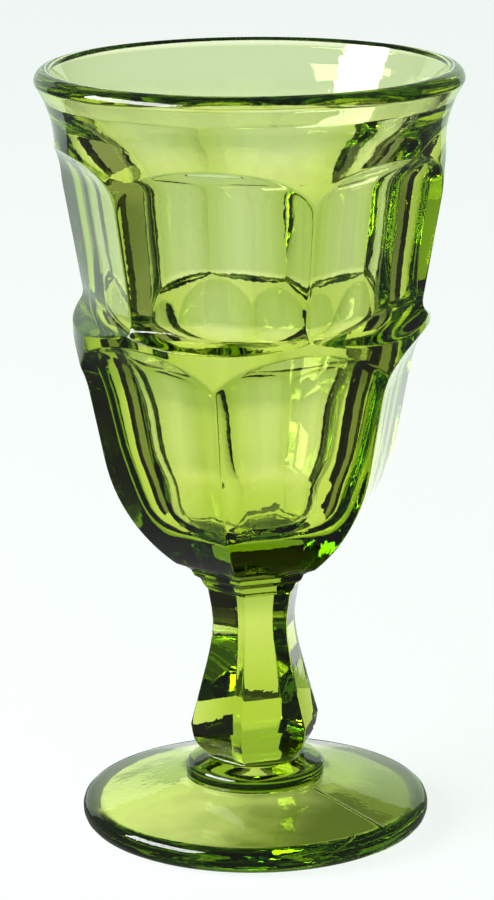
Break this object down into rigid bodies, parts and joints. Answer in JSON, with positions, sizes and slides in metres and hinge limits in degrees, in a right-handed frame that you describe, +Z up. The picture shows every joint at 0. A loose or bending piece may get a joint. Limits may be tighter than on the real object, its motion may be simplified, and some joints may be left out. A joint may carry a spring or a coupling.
{
  "type": "claret wine glass",
  "caption": "Stemmed claret glass in green pressed glass: flared bowl with two staggered tiers of flat panels, faceted baluster stem with a knop, round collar and disc foot.",
  "frame": {"origin": "centre of the foot's resting face, on the table", "axes": "+Z up along the glass's axis; a panel of the bowl's upper tier faces -Y"},
  "size_m": [0.0724, 0.0724, 0.1333],
  "materials": {
    "green_glass": "fire-polished, clear"
  },
  "bodies": {
    "root": {"bowl": "green_glass", "neck_ring": "green_glass", "stem": "green_glass", "foot_collar": "green_glass", "foot": "green_glass"}
  },
  "joints": []
}
